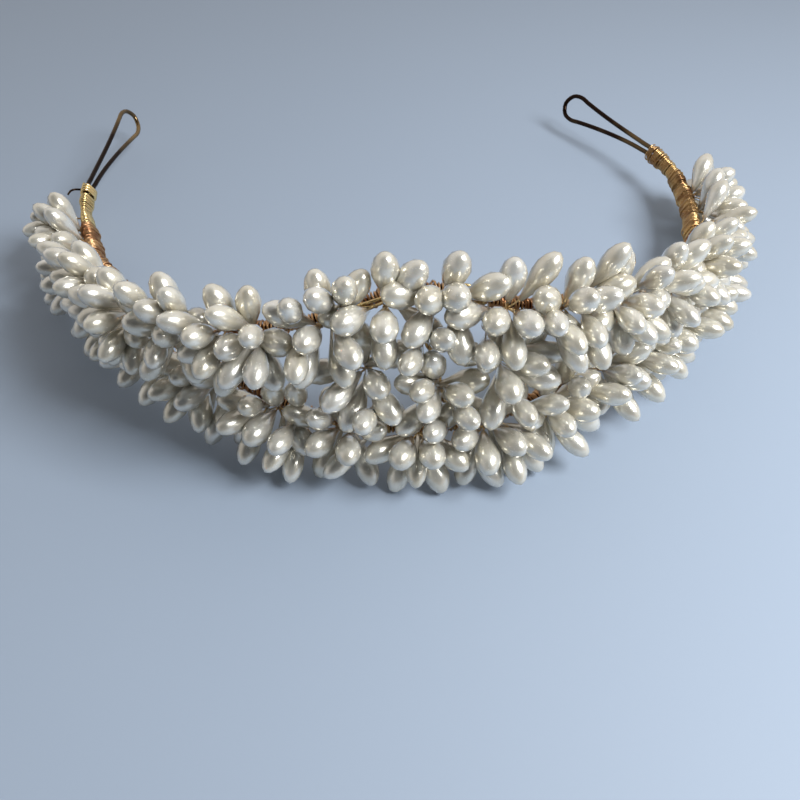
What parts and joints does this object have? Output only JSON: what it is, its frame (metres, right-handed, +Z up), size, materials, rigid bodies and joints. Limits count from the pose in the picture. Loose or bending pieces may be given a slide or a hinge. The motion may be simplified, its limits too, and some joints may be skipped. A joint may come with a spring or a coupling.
{
  "type": "bridal tiara",
  "caption": "Open bridal tiara: teardrop pearl buds wired in sprays along a two-rail gold wire band that ends in two pin eyes.",
  "frame": {"origin": "centre of the bounding box's bottom face, on the surface that the tiara rests on", "axes": "+X to the right as seen from the front, +Y towards the open back, +Z up"},
  "size_m": [0.1608, 0.1338, 0.044],
  "materials": {
    "gold_wire": "polished gold-coloured wire",
    "pearl": "satin pearl coating"
  },
  "bodies": {
    "root": {"frame_wire": "gold_wire", "centre_strut": "gold_wire", "left_strut": "gold_wire", "right_strut": "gold_wire", "left_binding": "gold_wire", "right_binding": "gold_wire", "spray_01": "pearl", "spray_02": "pearl", "spray_03": "pearl", "spray_04": "pearl", "spray_05": "pearl", "spray_06": "pearl", "spray_07": "pearl", "spray_08": "pearl", "spray_09": "pearl", "spray_10": "pearl", "spray_11": "pearl", "spray_12": "pearl", "spray_13": "pearl", "spray_14": "pearl", "spray_15": "pearl", "spray_16": "pearl", "spray_17": "pearl", "spray_18": "pearl", "spray_19": "pearl", "spray_20": "pearl", "spray_21": "pearl", "spray_22": "pearl", "spray_23": "pearl", "spray_24": "pearl", "spray_25": "pearl", "spray_26": "pearl", "spray_27": "pearl", "spray_28": "pearl", "spray_29": "pearl", "spray_30": "pearl", "spray_31": "pearl"}
  },
  "joints": []
}
